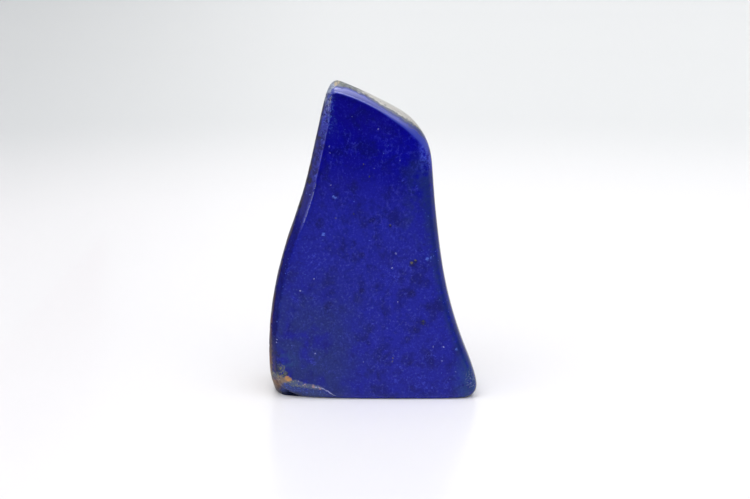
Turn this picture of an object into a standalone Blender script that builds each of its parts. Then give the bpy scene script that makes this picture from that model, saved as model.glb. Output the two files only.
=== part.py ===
"""A polished freeform of lapis lazuli that stands on a flat ground foot.

The stone is one piece. It is a slab with a slanted top, a straight left side that
leans inwards and a hollow right side. Its front has flat bevels along the top and
the left, with crisp borders, and all the other edges are ground round.
It is a box-shaped cage whose walls follow the outline, smoothed by subdivision.

Frame: metres, +Z up, the front faces -Y, and the origin is the middle of the foot.
"""

import bmesh
import bpy
from mathutils import Vector

MM = 0.001

# The outline from the front, from the foot up, as (x, z) in millimetres.
# A row of the cage runs from each left point to the right point of the same place.
LEFT_SIDE = (
    (-29.8, 0.0),
    (-30.0, 3.8),
    (-30.1, 15.7),
    (-29.3, 26.7),
    (-25.9, 42.6),
    (-19.9, 57.8),
    (-17.0, 71.0),
    (-14.7, 81.2),
    (-13.4, 86.8),
    (-12.2, 90.2),
)
RIGHT_SIDE = (
    (29.6, 0.0),
    (30.9, 2.5),
    (28.4, 10.6),
    (24.7, 19.3),
    (20.8, 33.0),
    (18.9, 46.7),
    (17.9, 56.1),
    (17.3, 64.6),
    (16.9, 70.4),
    (15.7, 76.2),
)
BEVEL_CROWN = 3.9  # how far the row under the top bulges over a straight line
BEVEL_LEAN = 0.5  # how much more it bulges at the left than at the right
LEAN_MIDDLE = 0.4  # how far across the stone the lean changes nothing
TOP_CROWN = 1.1

# Front and back faces, as y in millimetres for each row from the foot up.
FRONT_FACE = (-13.2, -13.5, -13.5, -13.2, -12.6, -11.9, -11.3, -10.7, -10.3, -9.9)
BACK_FACE = (12.3, 12.7, 12.9, 12.5, 11.3, 9.7, 8.2, 6.8, 6.0, 5.5)
FRONT_CROWN = 0.4  # how far the middle of the front stands out
BACK_CROWN = 1.0
BACK_TWIST = 1.6  # how much thicker the left of the back is than its right
LEFT_TAPER = 1.2  # how much further in the back of each side stands than its front
RIGHT_TAPER = 2.0

# How far each ground edge reaches in from its corner, in millimetres.
LEFT_EDGE = 3.0
RIGHT_EDGE = 5.0
FRONT_EDGE = 3.2
BACK_EDGE = 5.0
FOOT_EDGE = 1.6
FOOT_FLATNESS = 1.6  # how soon the row over the foot comes down from the corners

# Cage points that lie off the rule, and how far, in millimetres: the corner where the
# two bevels' borders meet, and the front corners of the foot, which are ground rounder.
SHIFTS = {
    (1, 0, 8): (-0.9, 0.0, 0.5),
    (0, 0, 0): (7.4, 5.2, 0.0),
    (1, 0, 0): (3.8, 3.2, 0.0),
    (0, 1, 0): (3.0, 0.6, 0.0),
    (0, 2, 0): (-0.6, 0.0, 0.0),
    (0, 0, 1): (0.8, 0.8, 0.0),
    (5, 0, 0): (-1.4, 1.0, 0.0),
}

COLUMNS = (0.0, 0.30, 0.70, 1.0)  # across a face, between its ground edges
DEPTHS = (0.0, 0.5, 1.0)

# Share of a ground edge by which its middle is drawn in: half makes it flat.
ROUND_PULL = 0.20
FLAT_PULL = 0.46
CORNER_PULL = 0.38
BEVEL_CORNER_PULL = 0.52

# Sharpness of the borders of the front's bevels and of the foot.
TOP_CREASE = (0.0, 0.46, 0.46, 0.36, 0.20)  # one for each column, and it fades to the right
LEFT_CREASE = (0.0, 0.30, 0.30, 0.36, 0.42, 0.46, 0.46, 0.46, 0.0)  # from the foot up
FOOT_CREASE = 0.34
CORNER_CREASE = 0.40  # where the two bevels' borders meet
LEVELS = 2

COLOUR = (0.012, 0.010, 0.235, 1.0)
ROUGHNESS = 0.16


def mix(a, b, share):
    return a + (b - a) * share


def lines_across(low, high, low_edge, high_edge, shares):
    """Cage lines from one wall to the other: the wall, its ground edge, and so on."""
    inner_low, inner_high = low + low_edge, high - high_edge
    return [low, *(mix(inner_low, inner_high, s) for s in shares), high]


def edge_pull(walls, on_bevel):
    """How far a point where walls meet is drawn in along each of them."""
    if walls < 2:
        return 0.0
    if walls == 2:
        return FLAT_PULL if on_bevel else ROUND_PULL
    return BEVEL_CORNER_PULL if on_bevel else CORNER_PULL


def cage_point(i, j, k, counts):
    """The place of one point on the skin of the cage, in millimetres."""
    columns, depths, rows = counts
    (left, left_z), (right, right_z) = LEFT_SIDE[k], RIGHT_SIDE[k]
    xs = lines_across(left, right, LEFT_EDGE, RIGHT_EDGE, COLUMNS)
    ys = lines_across(FRONT_FACE[k], BACK_FACE[k], FRONT_EDGE, BACK_EDGE, DEPTHS)
    x, y = xs[i], ys[j]
    across = (x - left) / (right - left)
    hump = 4 * across * (1 - across)
    z = mix(left_z, right_z, across)
    if k == rows:
        z += TOP_CROWN * hump
    elif k == rows - 1:
        z += BEVEL_CROWN * hump * (1 + BEVEL_LEAN * (LEAN_MIDDLE - across))
    elif k == 1:
        z = mix(z, FOOT_EDGE, min(1.0, FOOT_FLATNESS * hump))

    on_side = i in (0, columns)
    on_face = j in (0, depths)
    on_end = k in (0, rows)
    on_bevel = j == 0 and k > 0 and (i == 0 or k == rows)
    pull = edge_pull(on_side + on_face + on_end, on_bevel)
    if j == 0 and not on_end:
        y -= FRONT_CROWN * hump
    if j == depths:
        y += BACK_CROWN * hump + BACK_TWIST * (0.5 - across)
    if on_side:
        x = mix(x, xs[1] if i == 0 else xs[-2], pull)
        x += (LEFT_TAPER if i == 0 else -RIGHT_TAPER) * (y - ys[0]) / (ys[-1] - ys[0])
    if on_face:
        y = mix(y, ys[1] if j == 0 else ys[-2], pull)
    if k == rows:
        z -= pull * FRONT_EDGE
    shift = SHIFTS.get((i, j, k), (0.0, 0.0, 0.0))
    return (Vector((x, y, z)) + Vector(shift)) * MM


def crease_of(first, second, counts):
    """The sharpness of the cage edge between two points, given as (i, j, k)."""
    columns, depths, rows = counts
    (i1, j1, k1), (i2, j2, k2) = first, second
    on_front = j1 == j2 == 0
    both_at_foot = k1 == k2 == 0
    if both_at_foot and (i1 == i2 in (0, columns) or j1 == j2 in (0, depths)):
        return FOOT_CREASE
    if on_front and k1 == k2 == rows - 1:
        return TOP_CREASE[min(i1, i2)]
    if on_front and i1 == i2 == 1:
        return LEFT_CREASE[min(k1, k2)]
    return 0.0


def build_cage():
    """The skin of the box of cage lines, as a closed mesh of quads."""
    columns, depths, rows = len(COLUMNS) + 1, len(DEPTHS) + 1, len(LEFT_SIDE) - 1
    counts = (columns, depths, rows)
    mesh = bmesh.new()
    crease = mesh.edges.layers.float.new("crease_edge")
    point_crease = mesh.verts.layers.float.new("crease_vert")
    points = {}
    places = {}

    def at(i, j, k):
        if (i, j, k) not in points:
            point = mesh.verts.new(cage_point(i, j, k, counts))
            points[i, j, k] = point
            places[point] = (i, j, k)
        return points[i, j, k]

    def face(*corners):
        mesh.faces.new([at(*corner) for corner in corners])

    for k in range(rows):
        for i in range(columns):
            face((i, 0, k), (i + 1, 0, k), (i + 1, 0, k + 1), (i, 0, k + 1))
            face((i + 1, depths, k), (i, depths, k), (i, depths, k + 1), (i + 1, depths, k + 1))
        for j in range(depths):
            face((0, j + 1, k), (0, j, k), (0, j, k + 1), (0, j + 1, k + 1))
            face((columns, j, k), (columns, j + 1, k), (columns, j + 1, k + 1), (columns, j, k + 1))
    for i in range(columns):
        for j in range(depths):
            face((i, j + 1, 0), (i + 1, j + 1, 0), (i + 1, j, 0), (i, j, 0))
            face((i, j, rows), (i + 1, j, rows), (i + 1, j + 1, rows), (i, j + 1, rows))
    points[1, 0, rows - 1][point_crease] = CORNER_CREASE
    for edge in mesh.edges:
        edge[crease] = crease_of(*(places[point] for point in edge.verts), counts)

    data = bpy.data.meshes.new("stone")
    mesh.to_mesh(data)
    mesh.free()
    return data


def lapis_material():
    material = bpy.data.materials.new("lapis")
    material.use_nodes = True
    shader = material.node_tree.nodes["Principled BSDF"]
    shader.inputs["Base Color"].default_value = COLOUR
    shader.inputs["Roughness"].default_value = ROUGHNESS
    shader.inputs["Metallic"].default_value = 0.0
    return material


def main():
    for old in list(bpy.data.objects):
        bpy.data.objects.remove(old, do_unlink=True)
    collection = bpy.data.collections.new("lapis_freeform")
    bpy.context.scene.collection.children.link(collection)

    stone = bpy.data.objects.new("stone", build_cage())
    stone.data.materials.append(lapis_material())
    stone.data.shade_smooth()
    collection.objects.link(stone)
    smooth = stone.modifiers.new("ground_smooth", "SUBSURF")
    smooth.levels = LEVELS
    smooth.render_levels = LEVELS


main()
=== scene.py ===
"""The looks of a polished freeform of lapis lazuli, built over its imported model.

The stone's surface is the same cage as the model's, smoothed further and given the
slight waves and pits of hand polishing. Its colour, veins and grains are a node
material in millimetres of the stone's own frame. A plain studio stands round it.
"""

import math

import bmesh
import bpy
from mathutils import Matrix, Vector, noise


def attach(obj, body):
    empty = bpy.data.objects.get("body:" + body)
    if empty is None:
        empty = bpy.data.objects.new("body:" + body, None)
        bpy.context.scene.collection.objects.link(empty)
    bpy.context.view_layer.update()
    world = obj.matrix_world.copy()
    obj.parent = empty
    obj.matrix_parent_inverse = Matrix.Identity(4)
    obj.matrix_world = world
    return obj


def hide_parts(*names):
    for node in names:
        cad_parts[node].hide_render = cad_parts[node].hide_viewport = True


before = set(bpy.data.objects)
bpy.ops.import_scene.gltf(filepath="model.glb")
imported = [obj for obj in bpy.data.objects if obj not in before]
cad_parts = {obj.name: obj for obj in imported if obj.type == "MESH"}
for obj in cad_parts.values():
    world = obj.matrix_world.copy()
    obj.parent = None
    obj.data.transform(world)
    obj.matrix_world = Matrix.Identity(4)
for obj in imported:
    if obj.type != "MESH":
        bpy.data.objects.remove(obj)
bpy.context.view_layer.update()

MM = 0.001

# The outline from the front, from the foot up, as (x, z) in millimetres.
# A row of the cage runs from each left point to the right point of the same place.
LEFT_SIDE = (
    (-29.8, 0.0),
    (-30.0, 3.8),
    (-30.1, 15.7),
    (-29.3, 26.7),
    (-25.9, 42.6),
    (-19.9, 57.8),
    (-17.0, 71.0),
    (-14.7, 81.2),
    (-13.4, 86.8),
    (-12.2, 90.2),
)
RIGHT_SIDE = (
    (29.6, 0.0),
    (30.9, 2.5),
    (28.4, 10.6),
    (24.7, 19.3),
    (20.8, 33.0),
    (18.9, 46.7),
    (17.9, 56.1),
    (17.3, 64.6),
    (16.9, 70.4),
    (15.7, 76.2),
)
BEVEL_CROWN = 3.9  # how far the row under the top bulges over a straight line
BEVEL_LEAN = 0.5  # how much more it bulges at the left than at the right
LEAN_MIDDLE = 0.4  # how far across the stone the lean changes nothing
TOP_CROWN = 1.1

# Front and back faces, as y in millimetres for each row from the foot up.
FRONT_FACE = (-13.2, -13.5, -13.5, -13.2, -12.6, -11.9, -11.3, -10.7, -10.3, -9.9)
BACK_FACE = (12.3, 12.7, 12.9, 12.5, 11.3, 9.7, 8.2, 6.8, 6.0, 5.5)
FRONT_CROWN = 0.4  # how far the middle of the front stands out
BACK_CROWN = 1.0
BACK_TWIST = 1.6  # how much thicker the left of the back is than its right
LEFT_TAPER = 1.2  # how much further in the back of each side stands than its front
RIGHT_TAPER = 2.0

# How far each ground edge reaches in from its corner, in millimetres.
LEFT_EDGE = 3.0
RIGHT_EDGE = 5.0
FRONT_EDGE = 3.2
BACK_EDGE = 5.0
FOOT_EDGE = 1.6
FOOT_FLATNESS = 1.6  # how soon the row over the foot comes down from the corners

# Cage points that lie off the rule, and how far, in millimetres: the corner where the
# two bevels' borders meet, and the front corners of the foot, which are ground rounder.
SHIFTS = {
    (1, 0, 8): (-0.9, 0.0, 0.5),
    (0, 0, 0): (7.4, 5.2, 0.0),
    (1, 0, 0): (3.8, 3.2, 0.0),
    (0, 1, 0): (3.0, 0.6, 0.0),
    (0, 2, 0): (-0.6, 0.0, 0.0),
    (0, 0, 1): (0.8, 0.8, 0.0),
    (5, 0, 0): (-1.4, 1.0, 0.0),
}

COLUMNS = (0.0, 0.30, 0.70, 1.0)  # across a face, between its ground edges
DEPTHS = (0.0, 0.5, 1.0)

# Share of a ground edge by which its middle is drawn in: half makes it flat.
ROUND_PULL = 0.20
FLAT_PULL = 0.46
CORNER_PULL = 0.38
BEVEL_CORNER_PULL = 0.52

# Sharpness of the borders of the front's bevels and of the foot.
TOP_CREASE = (0.0, 0.46, 0.46, 0.36, 0.20)  # one for each column, and it fades to the right
LEFT_CREASE = (0.0, 0.30, 0.30, 0.36, 0.42, 0.46, 0.46, 0.46, 0.0)  # from the foot up
FOOT_CREASE = 0.34
CORNER_CREASE = 0.40  # where the two bevels' borders meet
LEVELS = 4  # finer than the model, so that waves and pits show

# Relief of the polished skin, in millimetres.
WAVE_DEPTH = 0.020
WAVE_LENGTH = 15.0
GRIND_DEPTH = 0.006
GRIND_LENGTH = 4.0
PIT_DEPTH = 0.16
PIT_LENGTH = 1.1
RIND_DEPTH = 0.12
RIND_LENGTH = 4.2


def mix(a, b, share):
    return a + (b - a) * share


def lines_across(low, high, low_edge, high_edge, shares):
    """Cage lines from one wall to the other: the wall, its ground edge, and so on."""
    inner_low, inner_high = low + low_edge, high - high_edge
    return [low, *(mix(inner_low, inner_high, s) for s in shares), high]


def edge_pull(walls, on_bevel):
    """How far a point where walls meet is drawn in along each of them."""
    if walls < 2:
        return 0.0
    if walls == 2:
        return FLAT_PULL if on_bevel else ROUND_PULL
    return BEVEL_CORNER_PULL if on_bevel else CORNER_PULL


def cage_point(i, j, k, counts):
    """The place of one point on the skin of the cage, in millimetres."""
    columns, depths, rows = counts
    (left, left_z), (right, right_z) = LEFT_SIDE[k], RIGHT_SIDE[k]
    xs = lines_across(left, right, LEFT_EDGE, RIGHT_EDGE, COLUMNS)
    ys = lines_across(FRONT_FACE[k], BACK_FACE[k], FRONT_EDGE, BACK_EDGE, DEPTHS)
    x, y = xs[i], ys[j]
    across = (x - left) / (right - left)
    hump = 4 * across * (1 - across)
    z = mix(left_z, right_z, across)
    if k == rows:
        z += TOP_CROWN * hump
    elif k == rows - 1:
        z += BEVEL_CROWN * hump * (1 + BEVEL_LEAN * (LEAN_MIDDLE - across))
    elif k == 1:
        z = mix(z, FOOT_EDGE, min(1.0, FOOT_FLATNESS * hump))

    on_side = i in (0, columns)
    on_face = j in (0, depths)
    on_end = k in (0, rows)
    on_bevel = j == 0 and k > 0 and (i == 0 or k == rows)
    pull = edge_pull(on_side + on_face + on_end, on_bevel)
    if j == 0 and not on_end:
        y -= FRONT_CROWN * hump
    if j == depths:
        y += BACK_CROWN * hump + BACK_TWIST * (0.5 - across)
    if on_side:
        x = mix(x, xs[1] if i == 0 else xs[-2], pull)
        x += (LEFT_TAPER if i == 0 else -RIGHT_TAPER) * (y - ys[0]) / (ys[-1] - ys[0])
    if on_face:
        y = mix(y, ys[1] if j == 0 else ys[-2], pull)
    if k == rows:
        z -= pull * FRONT_EDGE
    shift = SHIFTS.get((i, j, k), (0.0, 0.0, 0.0))
    return (Vector((x, y, z)) + Vector(shift)) * MM


def crease_of(first, second, counts):
    """The sharpness of the cage edge between two points, given as (i, j, k)."""
    columns, depths, rows = counts
    (i1, j1, k1), (i2, j2, k2) = first, second
    on_front = j1 == j2 == 0
    both_at_foot = k1 == k2 == 0
    if both_at_foot and (i1 == i2 in (0, columns) or j1 == j2 in (0, depths)):
        return FOOT_CREASE
    if on_front and k1 == k2 == rows - 1:
        return TOP_CREASE[min(i1, i2)]
    if on_front and i1 == i2 == 1:
        return LEFT_CREASE[min(k1, k2)]
    return 0.0


def build_cage():
    """The skin of the box of cage lines, as a closed mesh of quads."""
    columns, depths, rows = len(COLUMNS) + 1, len(DEPTHS) + 1, len(LEFT_SIDE) - 1
    counts = (columns, depths, rows)
    mesh = bmesh.new()
    crease = mesh.edges.layers.float.new("crease_edge")
    point_crease = mesh.verts.layers.float.new("crease_vert")
    points = {}
    places = {}

    def at(i, j, k):
        if (i, j, k) not in points:
            point = mesh.verts.new(cage_point(i, j, k, counts))
            points[i, j, k] = point
            places[point] = (i, j, k)
        return points[i, j, k]

    def face(*corners):
        mesh.faces.new([at(*corner) for corner in corners])

    for k in range(rows):
        for i in range(columns):
            face((i, 0, k), (i + 1, 0, k), (i + 1, 0, k + 1), (i, 0, k + 1))
            face((i + 1, depths, k), (i, depths, k), (i, depths, k + 1), (i + 1, depths, k + 1))
        for j in range(depths):
            face((0, j + 1, k), (0, j, k), (0, j, k + 1), (0, j + 1, k + 1))
            face((columns, j, k), (columns, j + 1, k), (columns, j + 1, k + 1), (columns, j, k + 1))
    for i in range(columns):
        for j in range(depths):
            face((i, j + 1, 0), (i + 1, j + 1, 0), (i + 1, j, 0), (i, j, 0))
            face((i, j, rows), (i + 1, j, rows), (i + 1, j + 1, rows), (i, j + 1, rows))
    points[1, 0, rows - 1][point_crease] = CORNER_CREASE
    for edge in mesh.edges:
        edge[crease] = crease_of(*(places[point] for point in edge.verts), counts)

    data = bpy.data.meshes.new("stone_cage")
    mesh.to_mesh(data)
    mesh.free()
    return data


def smooth_mesh(cage):
    """The cage smoothed into a fine mesh."""
    holder = bpy.data.objects.new("cage_holder", cage)
    bpy.context.scene.collection.objects.link(holder)
    smooth = holder.modifiers.new("ground_smooth", "SUBSURF")
    smooth.levels = LEVELS
    graph = bpy.context.evaluated_depsgraph_get()
    mesh = bpy.data.meshes.new_from_object(holder.evaluated_get(graph))
    bpy.data.objects.remove(holder)
    mesh.name = "stone_skin"
    return mesh


def ramp(value, low, high):
    """0 below low, 1 above high, and smooth between them."""
    share = min(1.0, max(0.0, (value - low) / (high - low)))
    return share * share * (3 - 2 * share)


def hollow(point, normal):
    """How far the skin lies in from the smooth form at a point, in millimetres."""
    depth = WAVE_DEPTH * (0.5 + 0.5 * noise.noise(point / WAVE_LENGTH))
    depth += GRIND_DEPTH * (0.5 + 0.5 * noise.noise(point / GRIND_LENGTH + Vector((7, 3, 1))))
    x, y, z = point
    rind = ramp(-normal.x, 0.75, 0.95) * ramp(y, -12.0, -8.0)
    top = ramp(normal.z, 0.80, 0.95) * ramp(z, 60.0, 70.0) * ramp(y, -6.5, -4.0)
    corner = ramp(-x, 20.5, 25.0) * ramp(-z, -9.0, -5.0) * ramp(-y, 8.0, 11.0)
    coarse = 0.5 + 0.5 * noise.noise(point / RIND_LENGTH)
    fine = max(0.0, noise.noise(point / PIT_LENGTH)) + 0.3 * max(0.0, noise.noise(point * 1.7))
    depth += max(rind, 0.7 * top) * RIND_DEPTH * coarse
    depth += max(rind, top, corner) * PIT_DEPTH * fine
    return depth


def add_relief(mesh):
    """Sinks the mesh's points by hollow(), and keeps the foot flat."""
    moves = []
    for vertex in mesh.vertices:
        above_foot = ramp(vertex.co.z / MM, 0.02, 0.8)
        depth = hollow(vertex.co / MM, vertex.normal) * above_foot
        moves.append(vertex.co - vertex.normal * depth * MM)
    for vertex, place in zip(mesh.vertices, moves):
        vertex.co = place
    mesh.update()


def srgb(red, green, blue):
    """A screen colour, each part 0 to 255, as linear light."""
    parts = (value / 255 for value in (red, green, blue))
    linear = (p / 12.92 if p <= 0.04045 else ((p + 0.055) / 1.055) ** 2.4 for p in parts)
    return (*linear, 1.0)


# Where the soft edge of a grain or a mark starts and ends, in shares of its radius.
GRAIN_EDGE = (0.45, 1.1)
MARK_EDGE = (0.55, 1.15)


class Graph:
    """Adds nodes to a material and joins them."""

    def __init__(self, tree):
        self.tree = tree

    def put(self, socket, value):
        if isinstance(value, bpy.types.NodeSocket):
            self.tree.links.new(value, socket)
        else:
            socket.default_value = value

    def add(self, kind, inputs, out=0, **settings):
        node = self.tree.nodes.new(kind)
        for name, value in settings.items():
            setattr(node, name, value)
        for key, value in inputs.items():
            self.put(node.inputs[key], value)
        return node.outputs[out]

    def math(self, operation, a, b=0.0, clamp=False):
        return self.add("ShaderNodeMath", {0: a, 1: b}, operation=operation, use_clamp=clamp)

    def both(self, *masks):
        """The product of masks."""
        result = masks[0]
        for mask in masks[1:]:
            result = self.math("MULTIPLY", result, mask)
        return result

    def either(self, *masks):
        """The largest of masks."""
        result = masks[0]
        for mask in masks[1:]:
            result = self.math("MAXIMUM", result, mask)
        return result

    def parts(self, vector):
        """The three numbers of a vector."""
        return self.add("ShaderNodeSeparateXYZ", {0: vector}).node.outputs

    def vector(self, operation, a, b):
        return self.add("ShaderNodeVectorMath", {0: a, 1: b}, operation=operation)

    def scaled(self, a, factor):
        return self.add("ShaderNodeVectorMath", {0: a, "Scale": factor}, operation="SCALE")

    def rise(self, value, low, high, top=1.0):
        """0 below low, top above high, and smooth between them."""
        inputs = {0: value, 1: low, 2: high, 3: 0.0, 4: top}
        return self.add("ShaderNodeMapRange", inputs, interpolation_type="SMOOTHSTEP")

    def fall(self, value, low, high, top=1.0):
        """top below low, 0 above high, and smooth between them."""
        inputs = {0: value, 1: low, 2: high, 3: top, 4: 0.0}
        return self.add("ShaderNodeMapRange", inputs, interpolation_type="SMOOTHSTEP")

    def blend(self, mask, under, over):
        """The colour over on top of the colour under, where mask is."""
        inputs = {0: mask, 6: under, 7: over}
        return self.add("ShaderNodeMix", inputs, out=2, data_type="RGBA")

    def shifted(self, vector, size, reach):
        """The vector moved about by noise, by up to half of reach each way."""
        sway = self.vector("SUBTRACT", self.grain(vector, size, out=1), (0.5, 0.5, 0.5))
        return self.vector("ADD", vector, self.scaled(sway, reach))

    def grain(self, vector, size, detail=2.0, roughness=0.5, out=0, distortion=0.0):
        """Noise from 0 to 1 with forms of about this size, in millimetres."""
        inputs = {
            "Vector": vector,
            "Scale": 1.0 / size,
            "Detail": detail,
            "Roughness": roughness,
            "Distortion": distortion,
        }
        return self.add("ShaderNodeTexNoise", inputs, out=out)

    def dots(self, vector, spacing, share, small, large):
        """Round grains on a share of the cells of a scatter, with radii from small to large."""
        cells = self.tree.nodes.new("ShaderNodeTexVoronoi")
        self.put(cells.inputs["Vector"], vector)
        cells.inputs["Scale"].default_value = 1.0 / spacing
        chance = self.add("ShaderNodeSeparateColor", {0: cells.outputs["Color"]})
        size = chance.node.outputs[1]
        active = self.fall(chance, share - 0.01, share)
        radius = self.math("ADD", self.math("MULTIPLY", size, large - small), small)
        reach = self.math("DIVIDE", self.math("MULTIPLY", cells.outputs["Distance"], spacing), radius)
        return self.both(active, self.fall(reach, *GRAIN_EDGE)), chance.node.outputs[2]

    def near(self, vector, marks):
        """A mask round listed marks, each (x, z, radius) on the front, in millimetres."""
        reach = None
        for x, z, radius in marks:
            ends = {0: vector, 1: (x, 0.0, z)}
            gap = self.add("ShaderNodeVectorMath", ends, out=1, operation="DISTANCE")
            share = self.math("DIVIDE", gap, radius)
            reach = share if reach is None else self.math("MINIMUM", reach, share)
        return self.fall(reach, *MARK_EDGE)

    def curve(self, value, points):
        """A value read from a smooth curve through (input, output) points."""
        lows = [min(p[a] for p in points) for a in (0, 1)]
        spans = [max(p[a] for p in points) - lows[a] for a in (0, 1)]
        share = self.add("ShaderNodeMapRange", {0: value, 1: lows[0], 2: lows[0] + spans[0]})
        found = self.add("ShaderNodeFloatCurve", {"Value": share})
        line = found.node.mapping.curves[0]
        places = [((x - lows[0]) / spans[0], (y - lows[1]) / spans[1]) for x, y in points]
        line.points[0].location = places[0]
        line.points[1].location = places[-1]
        for place in places[1:-1]:
            line.points.new(*place)
        found.node.mapping.update()
        return self.math("ADD", self.math("MULTIPLY", found, spans[1]), lows[1])


# Grains and patches that stand out on the front, as (x, z, radius) in millimetres.
PYRITE = (
    (10.8, 39.4, 0.36),
    (11.8, 40.1, 0.26),
    (4.8, 50.1, 0.22),
    (14.1, 22.9, 0.36),
    (14.2, 22.1, 0.24),
    (-2.6, 66.9, 0.20),
    (-1.0, 63.5, 0.26),
    (-5.3, 53.2, 0.20),
    (-10.2, 52.0, 0.20),
    (5.6, 12.3, 0.20),
    (5.5, 11.4, 0.22),
)
HALO_COUNT = 4  # how many of them, from the first, have a dark halo
HALO_DROP = 0.3  # how far below its grain a halo lies
HALO_GROWTH = 2.6  # how many times wider than its grain it is
PALE_SPECKS = (
    (20.0, 15.4, 0.24),
    (-16.5, 35.0, 0.22),
    (5.3, 38.1, 0.20),
    (-27.1, 16.6, 0.22),
    (-27.0, 17.6, 0.16),
    (-20.4, 31.6, 0.24),
    (6.9, 28.4, 0.16),
    (-2.7, 11.2, 0.18),
    (-16.3, 13.7, 0.20),
)
DIM_SPECKS = (
    (19.5, 11.4, 0.30),
    (6.4, 42.0, 0.34),
    (1.5, 76.6, 0.26),
    (-5.8, 80.0, 0.14),
    (-12.0, 71.9, 0.20),
    (-11.9, 70.1, 0.20),
    (7.5, 67.9, 0.22),
    (23.4, 8.3, 0.16),
    (-11.6, 61.2, 0.26),
)
SKY_PATCHES = (
    (-13.7, 47.4, 0.55),
    (-11.0, 57.9, 0.42),
    (-10.4, 57.7, 0.42),
    (23.6, 14.7, 0.50),
    (15.2, 40.4, 0.55),
    (16.3, 40.8, 0.40),
    (-0.1, 26.6, 0.30),
    (4.0, 20.9, 0.26),
)
DARK_PATCHES = (
    (-5.8, 45.0, 1.2),
    (-3.2, 42.0, 1.1),
    (-14.7, 50.9, 1.6),
    (-0.3, 50.8, 1.1),
    (11.6, 38.2, 1.1),
    (10.8, 30.6, 1.3),
    (-11.5, 81.0, 0.8),
    (-11.4, 79.8, 0.6),
    (12.5, 20.0, 1.1),
    (9.5, 17.0, 1.1),
    (-12.5, 27.5, 1.5),
    (-3.0, 32.0, 1.0),
)
RIM_SPOTS = (
    (-17.6, 62.2, 1.0),
    (-20.6, 55.0, 0.8),
    (-14.8, 74.0, 0.6),
    (-25.6, 41.0, 0.6),
)
TEAL_TINGE = ((-23.4, 11.2, 2.4), (-22.6, 13.0, 1.8), (-25.0, 12.4, 1.4))
PINK_SPOTS = ((-16.9, 3.9, 0.45), (-15.0, 3.3, 0.38), (-19.2, 4.4, 0.30))
MOSS_SPOTS = ((-25.9, 9.4, 1.2), (-25.2, 7.7, 1.1), (-26.6, 7.2, 1.0))
NIGHT_SPOTS = ((-24.6, 7.4, 0.8), (-26.6, 10.4, 1.1), (-27.0, 13.2, 1.2), (-26.8, 8.6, 0.9))
ORANGE_SPOTS = ((-24.4, 6.1, 0.80), (-23.7, 5.9, 0.82), (-24.1, 6.6, 0.50))
TAN_SPOTS = ((-25.4, 5.6, 0.8), (-26.4, 6.4, 0.8), (-24.8, 5.0, 0.5))
FROST_SPOTS = ((-12.4, 87.2, 1.3), (-13.4, 84.8, 0.9), (-11.2, 88.2, 1.0))
APEX_SPOTS = ((-10.2, 88.8, 0.46), (-9.5, 88.9, 0.30))

# The middle line of the streak of crumbs over the foot, as (x, z) in millimetres.
STREAK = (
    (-28.2, 6.6),
    (-25.7, 5.5),
    (-24.0, 5.7),
    (-22.8, 4.7),
    (-21.4, 4.7),
    (-19.2, 4.1),
    (-17.2, 3.8),
    (-14.9, 3.5),
    (-12.7, 2.3),
    (-10.2, 0.8),
)

# Where the matrix over the top ends on the bevel, as (x, y) in millimetres.
MATRIX_BORDER = (
    (-12.0, -8.4),
    (-9.9, -8.2),
    (-6.3, -7.3),
    (-3.5, -7.2),
    (-0.8, -7.7),
    (3.4, -8.6),
    (9.2, -8.7),
    (12.2, -8.0),
    (15.0, -7.4),
    (18.0, -4.0),
)

DEEP_BLUE = srgb(4, 3, 130)
VIOLET_BLUE = srgb(8, 4, 114)
LOW_BLUE_AND_SHEEN = srgb(19, 26, 127)
LIT_FACET_BLUE = srgb(40, 54, 152)
NAVY = srgb(5, 7, 76)
DUSK = srgb(24, 36, 94)
DOT_BLUE = srgb(52, 60, 174)
LOW_GRAIN = srgb(84, 94, 168)
SKY_BLUE = srgb(74, 100, 196)
TEAL = srgb(28, 56, 104)
WORN_BLUE = srgb(40, 52, 100)
PALE = srgb(150, 158, 206)
FROST = srgb(134, 142, 164)
WHITE_VEIN = srgb(142, 148, 188)
CREAM = srgb(154, 152, 147)
GREY_STONE = srgb(72, 76, 84)
OLIVE = srgb(70, 76, 66)
MOSS = srgb(110, 114, 78)
TAN = srgb(126, 104, 80)
PINK = srgb(140, 112, 118)
ORANGE = srgb(162, 116, 62)
BROWN = srgb(88, 68, 58)
RED_BROWN = srgb(92, 52, 38)
DARK_BROWN = srgb(46, 32, 44)
INK = srgb(10, 10, 26)
NIGHT = srgb(20, 24, 44)
GOLD = srgb(112, 108, 82)
APEX_GOLD = srgb(126, 112, 90)
GREEN_GREY = srgb(86, 96, 100)

# The finish: how rough the polish is, how much that changes over the stone, and how
# much rougher the rind, the matrix and the crumbs are.
GLOSS = 0.085
GLOSS_CHANGE = 0.05
DULLNESS = 0.34
IOR = 1.5
SPECULAR_LEVEL = 0.18
PYRITE_METAL = 0.6
GRAIN_HEIGHT = 0.10
BUMP_STRENGTH = 0.30
BUMP_DEPTH = 0.06  # in millimetres


class Skin:
    """The stone's coordinates in millimetres, and the noises that its layers share."""

    def __init__(self, g, coordinates):
        self.point = g.scaled(coordinates.outputs["Object"], 1 / MM)
        self.normal = g.parts(coordinates.outputs["Normal"])
        self.drifted = g.shifted(self.point, 9.0, 4.0)
        self.ragged = g.shifted(self.point, 0.9, 0.9)
        self.x, self.y, self.z = g.parts(self.ragged)
        self.in_plane = g.vector("MULTIPLY", self.ragged, (1.0, 0.0, 1.0))
        self.front = g.fall(self.y, -9.5, -8.5)
        self.fine = g.grain(self.point, 0.62, 3.0, 0.65)
        self.mottle = g.grain(self.point, 1.2, 3.0, 0.65)

    def on_front(self, g, marks):
        """A mask round listed marks, on the front face only."""
        return g.both(g.near(self.in_plane, marks), self.front)


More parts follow.
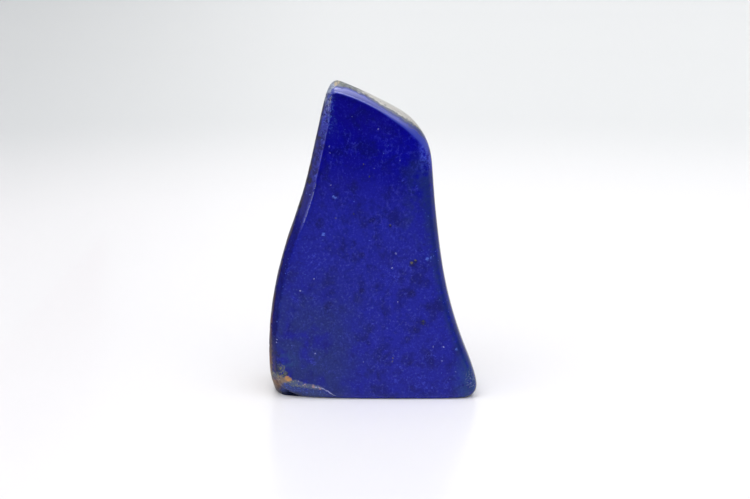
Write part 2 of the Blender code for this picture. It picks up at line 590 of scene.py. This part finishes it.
def paint_body(g, s):
    """The blue body, from large clouds down to fine grain and threads."""
    clouds = g.rise(g.grain(s.drifted, 17.0, 3.0), 0.36, 0.64)
    colour = g.blend(clouds, DEEP_BLUE, VIOLET_BLUE)
    # The lower front a hazier, greener blue: partly the stone's tone, partly a painted reflection of
    # the pale floor.
    colour = g.blend(g.fall(s.z, 46.0, 71.0, 0.76), colour, LOW_BLUE_AND_SHEEN)
    colour = g.blend(g.rise(s.z, 56.0, 68.0, 0.14), colour, NAVY)
    patches = g.grain(s.drifted, 4.6, 3.0, 0.6)
    colour = g.blend(g.rise(patches, 0.46, 0.70, 0.66), colour, NAVY)
    blotches = g.grain(s.drifted, 2.2, 3.0, 0.6)
    colour = g.blend(g.rise(blotches, 0.52, 0.68, 0.36), colour, NAVY)
    worn = g.both(g.fall(s.x, -16.0, 6.0), g.fall(s.z, 16.0, 44.0))
    dusk = g.rise(g.grain(s.drifted, 7.0, 3.0, 0.6), 0.30, 0.56, 0.92)
    colour = g.blend(g.math("MULTIPLY", worn, dusk), colour, DUSK)
    green_zone = g.both(g.rise(s.x, 6.0, 13.0), g.rise(s.z, 40.0, 50.0), g.fall(s.z, 64.0, 72.0))
    colour = g.blend(g.math("MULTIPLY", green_zone, g.rise(patches, 0.40, 0.58, 0.66)), colour, DUSK)
    spots = g.near(g.vector("MULTIPLY", s.drifted, (1.0, 0.0, 1.0)), DARK_PATCHES)
    colour = g.blend(g.both(spots, s.front, g.rise(s.mottle, 0.3, 0.6, 0.75)), colour, NAVY)
    colour = g.blend(g.rise(s.fine, 0.48, 0.70, 0.34), colour, NAVY)
    grain_colour = g.blend(g.fall(s.z, 40.0, 62.0), DOT_BLUE, LOW_GRAIN)
    colour = g.blend(g.fall(s.fine, 0.28, 0.46, 0.20), colour, grain_colour)
    return paint_threads(g, s, colour)


def paint_threads(g, s, colour):
    """Threads and flecks of lighter blue, most of them on the upper right of the front."""
    upright = g.vector("MULTIPLY", s.drifted, (1.0, 1.0, 0.60))
    threads = g.rise(g.grain(upright, 0.85, 3.0, 0.6), 0.54, 0.68)
    upper_right = g.both(g.rise(s.x, -1.0, 5.0), g.rise(s.z, 60.0, 67.0), g.fall(s.z, 77.0, 83.0))
    here_and_there = g.rise(g.grain(s.point, 7.0, 2.0), 0.44, 0.64, 0.24)
    where = g.either(here_and_there, g.math("MULTIPLY", upper_right, 0.22))
    colour = g.blend(g.math("MULTIPLY", threads, where), colour, DOT_BLUE)
    bands = g.grain(s.drifted, 6.0, 4.0, 0.6, distortion=0.6)
    strand = g.math("ABSOLUTE", g.math("SUBTRACT", bands, 0.5))
    patchy = g.rise(g.grain(s.point, 11.0, 2.0), 0.52, 0.66)
    wisps = g.both(g.fall(strand, 0.0, 0.022), patchy, g.rise(s.mottle, 0.42, 0.62, 0.5))
    colour = g.blend(wisps, colour, DOT_BLUE)
    flecks, tone = g.dots(s.ragged, 1.35, 0.34, 0.07, 0.20)
    strength = g.math("ADD", g.rise(tone, 0.1, 1.0, 0.46), g.math("MULTIPLY", upper_right, 0.30))
    colour = g.blend(g.both(flecks, strength), colour, SKY_BLUE)
    large, tone = g.dots(s.ragged, 4.2, 0.12, 0.16, 0.32)
    return g.blend(g.both(large, g.rise(tone, 0.2, 1.0, 0.36)), colour, PALE)


def paint_borders(g, s, colour):
    """The left chamfer, the column beside it, the right shoulder, roll and foot corner, with painted
    light on the chamfer, a painted highlight along its crease and painted shade on the roll.
    """
    flecks, tone = g.dots(s.ragged, 0.85, 0.55, 0.08, 0.24)
    flecks = g.math("MULTIPLY", flecks, g.rise(tone, 0.1, 1.0, 0.8))
    chamfer = g.both(g.fall(s.normal[0], -0.42, -0.25), g.fall(s.normal[1], -0.40, -0.20))
    # The chamfer's upper part is lighter in patches: partly the stone's mottling, partly painted
    # light where the chamfer catches the lamp.
    lighter = g.both(chamfer, g.fall(s.mottle, 0.40, 0.58, 0.50), g.rise(s.z, 58.0, 64.0))
    colour = g.blend(lighter, colour, DOT_BLUE)
    colour = g.blend(g.both(chamfer, g.rise(s.mottle, 0.46, 0.64, 0.70)), colour, NAVY)
    rim = g.both(g.fall(s.normal[0], -0.72, -0.45), g.fall(s.z, 74.0, 80.0))
    lower_rim = g.both(g.fall(s.normal[0], -0.62, -0.30), g.fall(s.z, 52.0, 62.0))
    colour = g.blend(g.math("MULTIPLY", g.either(rim, lower_rim), 0.55), colour, NAVY)
    colour = g.blend(g.math("MULTIPLY", chamfer, flecks), colour, SKY_BLUE)
    # Painted highlight: a pale line along the crease between the left chamfer and the front, where
    # the slope of the skin changes, broken up by grain.
    leaning = g.math("MULTIPLY", s.normal[0], -1.0)
    crease = g.both(g.rise(leaning, 0.12, 0.18), g.fall(leaning, 0.22, 0.28))
    crease = g.both(crease, g.rise(s.z, 48.0, 52.0), g.fall(s.z, 60.0, 63.0))
    crease = g.both(crease, g.rise(s.fine, 0.40, 0.56, 0.36))
    colour = g.blend(g.both(crease, s.front), colour, PALE)
    column = g.both(g.fall(s.x, -12.2, -9.4), g.rise(s.z, 72.0, 79.0), s.front)
    speckle = g.rise(g.grain(s.point, 0.62, 3.0, 0.7), 0.44, 0.68, 0.62)
    colour = g.blend(g.both(column, speckle, g.rise(s.mottle, 0.34, 0.60)), colour, SKY_BLUE)
    colour = g.blend(g.both(column, g.fall(s.mottle, 0.30, 0.42, 0.5)), colour, NAVY)
    shoulder = g.both(g.rise(s.x, 12.0, 14.2), g.rise(s.z, 62.0, 69.0))
    shoulder = g.both(shoulder, g.rise(s.mottle, 0.36, 0.60, 0.52))
    colour = g.blend(shoulder, colour, DOT_BLUE)
    colour = g.blend(g.both(shoulder, g.rise(s.fine, 0.46, 0.58, 0.65)), colour, SKY_BLUE)
    colour = g.blend(g.both(shoulder, g.fall(s.fine, 0.34, 0.46, 0.6)), colour, NAVY)
    # Painted shade: the right roll, where the skin turns to face right, is given a duskier blue, as
    # less light falls from the right. Its flecks are real grains.
    roll = g.both(g.rise(s.normal[0], 0.10, 0.26), g.fall(s.z, 62.0, 68.0))
    colour = g.blend(g.both(roll, g.rise(s.mottle, 0.25, 0.60, 0.80)), colour, DUSK)
    colour = g.blend(g.math("MULTIPLY", roll, flecks), colour, SKY_BLUE)
    corner = g.both(g.rise(s.x, 21.0, 27.0), g.fall(s.z, 8.0, 15.0))
    fine_speckle = g.rise(g.grain(s.point, 0.5, 3.0, 0.7), 0.50, 0.66, 0.42)
    colour = g.blend(g.both(corner, g.rise(s.mottle, 0.30, 0.55, 0.60)), colour, TEAL)
    tip = g.both(corner, g.rise(s.z, 3.0, 4.0), g.fall(s.z, 7.0, 10.0), g.rise(s.x, 25.5, 27.5))
    return g.blend(g.both(tip, fine_speckle), colour, FROST)


def paint_marks(g, s, colour):
    """The larger patches and specks of the front, each in its place."""
    sky = g.both(s.on_front(g, SKY_PATCHES), g.rise(s.fine, 0.34, 0.56, 0.62))
    colour = g.blend(sky, colour, SKY_BLUE)
    for marks, strength in ((DIM_SPECKS, 0.22), (PALE_SPECKS, 0.50)):
        specks = g.math("MULTIPLY", s.on_front(g, marks), strength)
        colour = g.blend(specks, colour, PALE)
    return colour


def paint_streak(g, s, colour):
    """The streak of crumbs at the foot's left corner, and the paler blue below it.

    Gives the colour, and a mask of the crumbs.
    """
    offset = g.math("SUBTRACT", s.z, g.curve(s.x, STREAK))
    below = g.both(g.fall(offset, -0.9, 0.2), g.fall(s.x, -15.0, -10.5), g.fall(s.y, -6.0, -3.0))
    colour = g.blend(g.both(below, g.rise(s.mottle, 0.20, 0.50, 0.80)), colour, WORN_BLUE)
    crystals = g.rise(g.grain(s.point, 0.5, 2.0), 0.52, 0.68, 0.34)
    colour = g.blend(g.both(below, crystals), colour, SKY_BLUE)
    tinge = g.both(s.on_front(g, TEAL_TINGE), g.rise(s.mottle, 0.40, 0.66, 0.60))
    colour = g.blend(tinge, colour, TEAL)

    width = g.add("ShaderNodeMapRange", {0: s.x, 1: -27.0, 2: -14.0, 3: 1.35, 4: 0.55})
    near_line = g.fall(g.math("DIVIDE", g.math("ABSOLUTE", offset), width), 0.55, 1.25)
    near_line = g.both(near_line, g.fall(s.x, -15.0, -13.6), s.front)
    colour = g.blend(g.both(near_line, g.rise(s.mottle, 0.30, 0.54, 0.60)), colour, GREEN_GREY)
    crumbs, tone = g.dots(s.ragged, 0.46, 0.80, 0.14, 0.28)
    crumbs = g.both(crumbs, near_line)
    crumb_colour = g.blend(g.rise(tone, 0.34, 0.40), OLIVE, MOSS)
    crumb_colour = g.blend(g.rise(tone, 0.66, 0.70), crumb_colour, TAN)
    crumb_colour = g.blend(g.rise(tone, 0.80, 0.84), crumb_colour, CREAM)
    colour = g.blend(g.math("MULTIPLY", crumbs, 0.86), colour, crumb_colour)
    thread = g.fall(g.math("ABSOLUTE", offset), 0.05, 0.22)
    thread = g.both(thread, g.rise(s.x, -17.6, -16.4), g.fall(s.x, -10.8, -10.2), s.front)
    colour = g.blend(g.both(thread, g.rise(s.fine, 0.30, 0.50, 0.80)), colour, WHITE_VEIN)
    pink = g.math("MULTIPLY", s.on_front(g, PINK_SPOTS), 0.85)
    return g.blend(pink, colour, PINK), crumbs


def paint_corner(g, s, colour):
    """The moss, dark, orange and tan spots over the streak's left end.

    Gives the colour, and a mask of the orange ones.
    """
    moss = g.both(s.on_front(g, MOSS_SPOTS), g.rise(g.grain(s.point, 0.6), 0.38, 0.52, 0.85))
    colour = g.blend(moss, colour, g.blend(g.rise(s.fine, 0.44, 0.60), OLIVE, MOSS))
    dark = g.both(s.on_front(g, NIGHT_SPOTS), g.rise(s.mottle, 0.36, 0.62, 0.75))
    colour = g.blend(dark, colour, NIGHT)
    orange = s.on_front(g, ORANGE_SPOTS)
    orange_colour = g.blend(g.rise(s.fine, 0.40, 0.62), ORANGE, TAN)
    colour = g.blend(g.both(orange, g.rise(s.fine, 0.20, 0.34, 0.95)), colour, orange_colour)
    tan = g.both(s.on_front(g, TAN_SPOTS), g.rise(s.fine, 0.38, 0.54, 0.85))
    return g.blend(tan, colour, TAN), orange


def paint_rind(g, s, colour):
    """Brown rind low on the left side, with patches further up, the dark left skin, and a painted
    shadow under the foot's left corner.

    Gives the colour, and a mask of what is dull.
    """
    side = g.fall(s.normal[0], -0.90, -0.72)
    skin = g.both(side, g.rise(g.grain(s.point, 1.5, 3.0), 0.34, 0.50, 0.85))
    skin_colour = g.blend(g.rise(s.fine, 0.42, 0.62), INK, DUSK)
    uneven_z = g.math("ADD", s.z, g.math("MULTIPLY", g.grain(s.point, 6.0, 4.0, 0.65), 24.0))
    skin_colour = g.blend(g.fall(uneven_z, 32.0, 44.0, 0.85), skin_colour, RED_BROWN)
    colour = g.blend(skin, colour, skin_colour)
    pale_rim = g.both(g.fall(s.normal[0], -0.82, -0.62), g.rise(s.z, 78.0, 86.0))
    colour = g.blend(g.both(pale_rim, g.rise(s.fine, 0.38, 0.56, 0.60)), colour, FROST)

    lumps = g.grain(s.point, 3.4, 4.0, 0.6)
    height = g.math("ADD", s.z, g.math("MULTIPLY", lumps, 8.0))
    rim = g.fall(g.math("ADD", s.x, g.math("MULTIPLY", s.mottle, 0.8)), -28.5, -27.8)
    slant = g.math("ADD", s.x, g.math("MULTIPLY", s.z, -0.35))
    foot = g.both(g.fall(slant, -27.8, -26.4), g.fall(s.z, 4.6, 6.8))
    patches = g.both(side, g.rise(lumps, 0.50, 0.58))
    rind = g.either(g.both(g.fall(height, 18.0, 25.0), rim), foot, patches)
    grooves = g.grain(g.vector("MULTIPLY", s.drifted, (1.0, 1.0, 0.35)), 0.9, 3.0, 0.65)
    rind_colour = g.blend(g.rise(grooves, 0.44, 0.62, 0.85), BROWN, TAN)
    rind_colour = g.blend(g.fall(grooves, 0.30, 0.44, 0.7), rind_colour, DARK_BROWN)
    rind_colour = g.blend(g.rise(s.fine, 0.52, 0.70, 0.6), rind_colour, GREY_STONE)
    red = g.both(g.rise(uneven_z, 18.5, 22.5), g.rise(grooves, 0.34, 0.50, 0.9))
    rind_colour = g.blend(red, rind_colour, RED_BROWN)
    rind_colour = g.blend(g.rise(uneven_z, 25.0, 30.0), rind_colour, DARK_BROWN)
    lowest = g.both(g.fall(s.z, 2.0, 4.0, 0.75), g.rise(s.x, -28.5, -27.0))
    rind_colour = g.blend(lowest, rind_colour, DARK_BROWN)
    colour = g.blend(g.both(rind, g.rise(s.mottle, 0.26, 0.40)), colour, rind_colour)
    # Painted shadow: the wedge where the skin curves in under the foot's left corner is darkened.
    undercut_shadow = g.both(g.fall(s.z, 0.7, 1.9), g.fall(s.x, -22.0, -19.0))
    undercut_shadow = g.both(undercut_shadow, g.rise(s.y, -13.0, -12.2, 0.85))
    colour = g.blend(undercut_shadow, colour, NIGHT)
    seam = g.both(rim, g.rise(s.x, -29.1, -28.5), g.fall(height, 18.0, 25.0))
    seam = g.both(seam, g.rise(s.mottle, 0.3, 0.5, 0.7))
    return g.blend(seam, colour, OLIVE), g.either(rind, skin)


def paint_top(g, s, colour):
    """The bevel, painted a lighter blue where it faces up to the light, and the grey and cream matrix
    down to a ragged border.

    Gives the colour, and a mask of the matrix.
    """
    on_top = g.both(g.rise(s.normal[2], 0.18, 0.36), g.rise(s.z, 66.0, 69.0))
    on_top = g.both(on_top, g.fall(s.normal[0], 0.76, 0.90))
    left_wall = g.both(g.fall(s.normal[0], -0.80, -0.60), g.rise(s.y, -8.0, -5.0))
    on_top = g.math("MULTIPLY", on_top, g.math("SUBTRACT", 1.0, left_wall))
    # Painted light: the upward-facing bevel over the front is given a lighter blue.
    colour = g.blend(g.both(on_top, g.fall(s.y, -7.5, -6.0, 0.88)), colour, LIT_FACET_BLUE)
    ragged_noise = g.grain(s.drifted, 1.5, 4.0, 0.6)
    raggedness = g.math("MULTIPLY", g.math("SUBTRACT", ragged_noise, 0.5), 1.5)
    depth = g.math("SUBTRACT", g.math("ADD", s.y, raggedness), g.curve(s.x, MATRIX_BORDER))
    seam = g.both(on_top, g.rise(depth, -0.7, -0.3), g.rise(s.mottle, 0.18, 0.32, 0.95))
    colour = g.blend(seam, colour, DUSK)
    grey = g.both(on_top, g.rise(depth, 0.0, 0.6), g.rise(s.fine, 0.22, 0.38, 0.95))
    colour = g.blend(grey, colour, GREY_STONE)
    broad = g.grain(s.drifted, 2.6, 4.0, 0.6)
    cream = g.both(on_top, g.rise(depth, 0.8, 1.3), g.rise(s.x, -6.0, -1.0))
    cream = g.both(cream, g.rise(broad, 0.24, 0.36))
    cream_colour = g.blend(g.rise(s.fine, 0.56, 0.76), CREAM, GREY_STONE)
    colour = g.blend(cream, colour, cream_colour)
    olive = g.both(on_top, g.rise(depth, 0.4, 1.0), g.fall(s.x, -5.0, -1.5))
    colour = g.blend(g.both(olive, g.rise(s.fine, 0.44, 0.56)), colour, OLIVE)
    flakes = g.grain(g.vector("MULTIPLY", s.point, (1.0, 0.5, 1.0)), 1.1, 4.0, 0.75)
    left_top = g.both(on_top, g.rise(depth, -0.4, 0.3), g.fall(s.x, -3.0, 1.0))
    colour = g.blend(g.both(left_top, g.rise(flakes, 0.50, 0.60, 0.90)), colour, INK)
    colour = g.blend(g.both(left_top, g.fall(flakes, 0.34, 0.44, 0.7)), colour, CREAM)
    frost = g.both(g.near(s.in_plane, FROST_SPOTS), g.rise(s.fine, 0.34, 0.54, 0.85))
    colour = g.blend(frost, colour, FROST)
    apex = g.both(g.near(s.in_plane, APEX_SPOTS), g.rise(s.mottle, 0.25, 0.40))
    colour = g.blend(apex, colour, APEX_GOLD)
    return colour, g.either(g.math("MULTIPLY", seam, 1.6), grey, cream)


def paint_pyrite(g, s, colour):
    """Grains of pyrite, placed on the front and scattered over the rest.

    Gives the colour, and a mask of the grains.
    """
    halos = [(x, z - HALO_DROP, radius * HALO_GROWTH) for x, z, radius in PYRITE[:HALO_COUNT]]
    colour = g.blend(g.math("MULTIPLY", s.on_front(g, halos), 0.6), colour, INK)
    placed = g.both(s.on_front(g, PYRITE), g.rise(s.fine, 0.32, 0.48))
    grains, tone = g.dots(s.ragged, 6.5, 0.10, 0.16, 0.36)
    pyrite = g.either(placed, g.both(grains, g.rise(s.y, -9.0, -7.0)))
    pyrite_colour = g.blend(g.rise(tone, 0.3, 0.7), GOLD, OLIVE)
    return g.blend(g.math("MULTIPLY", pyrite, 0.85), colour, pyrite_colour), pyrite


def stone_material():
    material = bpy.data.materials.new("lapis_polished")
    material.use_nodes = True
    g = Graph(material.node_tree)
    shader = material.node_tree.nodes["Principled BSDF"]
    s = Skin(g, material.node_tree.nodes.new("ShaderNodeTexCoord"))

    colour = paint_body(g, s)
    colour = paint_borders(g, s, colour)
    colour = paint_marks(g, s, colour)
    colour, crumbs = paint_streak(g, s, colour)
    colour, orange = paint_corner(g, s, colour)
    colour, rind = paint_rind(g, s, colour)
    colour, top = paint_top(g, s, colour)
    rim_spots = g.both(g.near(s.in_plane, RIM_SPOTS), g.fall(s.y, -8.0, -6.5))
    colour = g.blend(g.both(rim_spots, g.rise(s.fine, 0.36, 0.5, 0.9)), colour, INK)
    colour, pyrite = paint_pyrite(g, s, colour)

    dull = g.either(g.either(crumbs, orange), rind, top)
    polish = g.math("MULTIPLY", g.grain(s.drifted, 6.0, 3.0), GLOSS_CHANGE)
    roughness = g.math("ADD", g.math("ADD", polish, GLOSS), g.math("MULTIPLY", dull, DULLNESS))
    g.put(shader.inputs["Base Color"], colour)
    g.put(shader.inputs["Roughness"], roughness)
    g.put(shader.inputs["Metallic"], g.math("MULTIPLY", pyrite, PYRITE_METAL))
    shader.inputs["IOR"].default_value = IOR
    shader.inputs["Specular IOR Level"].default_value = SPECULAR_LEVEL
    crumbly = g.math("MULTIPLY", dull, g.grain(s.point, 0.7, 4.0, 0.7))
    height = g.math("ADD", g.math("MULTIPLY", s.fine, GRAIN_HEIGHT), crumbly)
    bump = {"Height": height, "Strength": BUMP_STRENGTH, "Distance": BUMP_DEPTH * MM}
    g.put(shader.inputs["Normal"], g.add("ShaderNodeBump", bump))
    return material


def add_stone():
    mesh = smooth_mesh(build_cage())
    add_relief(mesh)
    mesh.shade_smooth()
    mesh.materials.clear()
    mesh.materials.append(stone_material())
    stone = bpy.data.objects.new("lapis_stone", mesh)
    bpy.context.scene.collection.objects.link(stone)
    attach(stone, "root")
    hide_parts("stone")


# What the polish reflects, by direction from the stone: a soft lamp overhead that
# reaches back to the right, a bright room to the left and right, and a dark front
# beyond the lit part of the floor.
DOME_RADIUS = 5.5
DOME_BASE = 0.8
SHADE_START = 1.45  # how far in front of the stone the dark begins
SHADE_LEVEL = 0.002  # how far over the floor it lies
LAMP = Vector((0.05, -0.12, 0.99)).normalized()
LAMP_LONG_WAY = LAMP.cross(Vector((0.78, -0.62, 0.0))).normalized()
LAMP_RADIANCE = 30.0
LAMP_SPREAD = (0.50, 0.40)
WINDOW = Vector((-0.72, -0.68, 0.13)).normalized()
WINDOW_GLOW = 5.0
DARK_FRONT = (0.30, -0.954, 0.0)
DIM_BACK = (-0.60, 0.80, 0.0)
LEFT_GLOW = (-1.0, -0.1, 0.1)
RIGHT_GLOW = (0.97, 0.2, 0.1)
FRONT_DARKNESS = 0.98
BACK_DARKNESS = 0.7


def dome_material():
    """A glow that depends on the direction in which the dome is seen from its middle."""
    material = bpy.data.materials.new("dome_glow")
    material.use_nodes = True
    tree = material.node_tree
    tree.nodes.clear()
    g = Graph(tree)
    place = tree.nodes.new("ShaderNodeTexCoord").outputs["Object"]
    direction = g.add("ShaderNodeVectorMath", {0: place}, operation="NORMALIZE")

    def towards(way):
        return g.add("ShaderNodeVectorMath", {0: direction, 1: way}, out=1, operation="DOT_PRODUCT")

    across = LAMP.cross(LAMP_LONG_WAY)
    fades = []
    for way, spread in ((LAMP_LONG_WAY, LAMP_SPREAD[0]), (across, LAMP_SPREAD[1])):
        share = g.math("DIVIDE", towards(way), spread)
        fades.append(g.math("MULTIPLY", share, share))
    fade = g.math("EXPONENT", g.math("MULTIPLY", g.math("ADD", *fades), -1.0))
    height = g.parts(direction)[2]
    lamp = g.math("MULTIPLY", g.both(fade, g.rise(height, 0.46, 0.72)), LAMP_RADIANCE)

    dark_front = g.both(g.rise(towards(DARK_FRONT), 0.62, 0.80), g.fall(height, 0.45, 0.75))
    dim_back = g.both(g.rise(towards(DIM_BACK), 0.80, 0.95), g.fall(height, 0.2, 0.5))
    left = g.both(g.rise(towards(LEFT_GLOW), 0.75, 0.95), g.fall(height, 0.3, 0.6, 0.6))
    right = g.both(g.rise(towards(RIGHT_GLOW), 0.75, 0.95), g.fall(height, 0.3, 0.6, 0.6))
    window = g.rise(towards(WINDOW), 0.990, 0.996, WINDOW_GLOW)
    glow = g.math("ADD", g.math("ADD", left, right), DOME_BASE)
    for zone, darkness in ((dim_back, BACK_DARKNESS), (dark_front, FRONT_DARKNESS)):
        kept = g.math("SUBTRACT", 1.0, g.math("MULTIPLY", zone, darkness))
        glow = g.math("MULTIPLY", glow, kept)
    glow = g.math("ADD", g.math("ADD", glow, window), lamp)
    emission = g.add("ShaderNodeEmission", {"Color": (1.0, 1.0, 1.0, 1.0), "Strength": glow})
    output = tree.nodes.new("ShaderNodeOutputMaterial")
    tree.links.new(emission, output.inputs["Surface"])
    return material


def plain_material(name, colour):
    material = bpy.data.materials.new(name)
    material.use_nodes = True
    material.node_tree.nodes["Principled BSDF"].inputs["Base Color"].default_value = colour
    return material


def add_mirror_only(name, data):
    """Puts a mesh on the stage that no camera, light or shadow meets, only reflections."""
    obj = bpy.data.objects.new(name, data)
    bpy.context.scene.collection.objects.link(obj)
    obj.visible_camera = False
    obj.visible_diffuse = False
    obj.visible_shadow = False
    obj.visible_transmission = False
    obj.visible_volume_scatter = False


def add_dome():
    """A half dome over the floor."""
    mesh = bmesh.new()
    bmesh.ops.create_uvsphere(mesh, u_segments=96, v_segments=48, radius=DOME_RADIUS)
    under = [v for v in mesh.verts if v.co.z < -0.001]
    bmesh.ops.delete(mesh, geom=under, context="VERTS")
    data = bpy.data.meshes.new("mirror_dome")
    mesh.to_mesh(data)
    mesh.free()
    data.materials.append(dome_material())
    add_mirror_only("mirror_dome", data)


def add_shade():
    """The dark beyond the lit floor in front."""
    data = bpy.data.meshes.new("mirror_shade")
    half, near, far, level = DOME_RADIUS, -SHADE_START, -DOME_RADIUS, SHADE_LEVEL
    corners = [(-half, far, level), (half, far, level), (half, near, level), (-half, near, level)]
    data.from_pydata(corners, [], [(0, 1, 2, 3)])
    data.materials.append(plain_material("shade_black", INK))
    add_mirror_only("mirror_shade", data)


# A dim card beside the stone's lower left, as (y, z) in metres, at this x.
CARD_X = -0.12
CARD = ((0.25, 0.0), (-0.17, 0.0), (-0.17, 0.058), (-0.08, 0.073), (0.25, 0.073))
CARD_GREY = (0.30, 0.26, 0.26, 1.0)


def add_card():
    """What keeps the lower part of the left chamfer dark, where a hand was in the photograph."""
    data = bpy.data.meshes.new("mirror_card")
    data.from_pydata([(CARD_X, y, z) for y, z in CARD], [], [tuple(range(len(CARD)))])
    data.materials.append(plain_material("card_grey", CARD_GREY))
    add_mirror_only("mirror_card", data)


# The sky that lights the scene: an even glow, and a wide soft lamp high in front.
SKY_EVEN = 0.36
SKY_LAMP = 1.85
SKY_TOP = Vector((-0.10, -0.50, 0.86)).normalized()
SKY_COLOUR = (0.96, 0.975, 1.0, 1.0)


def add_sky():
    world = bpy.data.worlds.new("studio")
    world.use_nodes = True
    tree = world.node_tree
    g = Graph(tree)
    direction = tree.nodes.new("ShaderNodeTexCoord").outputs["Generated"]
    height = g.add("ShaderNodeVectorMath", {0: direction, 1: SKY_TOP}, out=1, operation="DOT_PRODUCT")
    strength = g.math("ADD", g.rise(height, 0.40, 0.95, SKY_LAMP), SKY_EVEN)
    background = tree.nodes["Background"]
    background.inputs["Color"].default_value = SKY_COLOUR
    g.put(background.inputs["Strength"], strength)
    bpy.context.scene.world = world


# The floor, in metres. Its colour fades from near the stone to further off, a painted pool of light
# round the stone.
FLOOR_HALF = 6.0
FLOOR_NEAR = (0.92, 0.90, 0.905, 1.0)
FLOOR_FAR = (0.72, 0.727, 0.73, 1.0)
FLOOR_FADE = (0.25, 0.75)
FLOOR_ROUGHNESS = 0.24
FLOOR_SPECULAR_LEVEL = 0.2


def floor_material():
    material = bpy.data.materials.new("floor_white")
    material.use_nodes = True
    g = Graph(material.node_tree)
    shader = material.node_tree.nodes["Principled BSDF"]
    place = material.node_tree.nodes.new("ShaderNodeTexCoord").outputs["Object"]
    reach = g.add("ShaderNodeVectorMath", {0: place}, out=1, operation="LENGTH")
    g.put(shader.inputs["Base Color"], g.blend(g.rise(reach, *FLOOR_FADE), FLOOR_NEAR, FLOOR_FAR))
    shader.inputs["Roughness"].default_value = FLOOR_ROUGHNESS
    shader.inputs["Specular IOR Level"].default_value = FLOOR_SPECULAR_LEVEL
    return material


def add_floor():
    mesh = bpy.data.meshes.new("floor")
    half = FLOOR_HALF
    corners = [(-half, -half, 0), (half, -half, 0), (half, half, 0), (-half, half, 0)]
    mesh.from_pydata(corners, [], [(0, 1, 2, 3)])
    mesh.materials.append(floor_material())
    floor = bpy.data.objects.new("floor", mesh)
    bpy.context.scene.collection.objects.link(floor)


# The camera, in metres and millimetres of lens and sensor.
LENS = 75.4
SENSOR = 36.0
LOOK_DOWN = math.radians(11.0)
CAMERA_DISTANCE = 0.450
LOOK_AT = Vector((0.0006, 0.0, 0.04075))


def add_camera():
    data = bpy.data.cameras.new("photo_camera")
    data.lens = LENS
    data.sensor_width = SENSOR
    camera = bpy.data.objects.new("photo_camera", data)
    bpy.context.scene.collection.objects.link(camera)
    view = Vector((0, math.cos(LOOK_DOWN), -math.sin(LOOK_DOWN)))
    camera.location = LOOK_AT - CAMERA_DISTANCE * view
    camera.rotation_mode = "QUATERNION"
    camera.rotation_quaternion = view.to_track_quat("-Z", "Y")
    bpy.context.scene.camera = camera


add_stone()
add_floor()
add_sky()
add_dome()
add_shade()
add_card()
add_camera()
bpy.context.scene.view_settings.view_transform = "Standard"
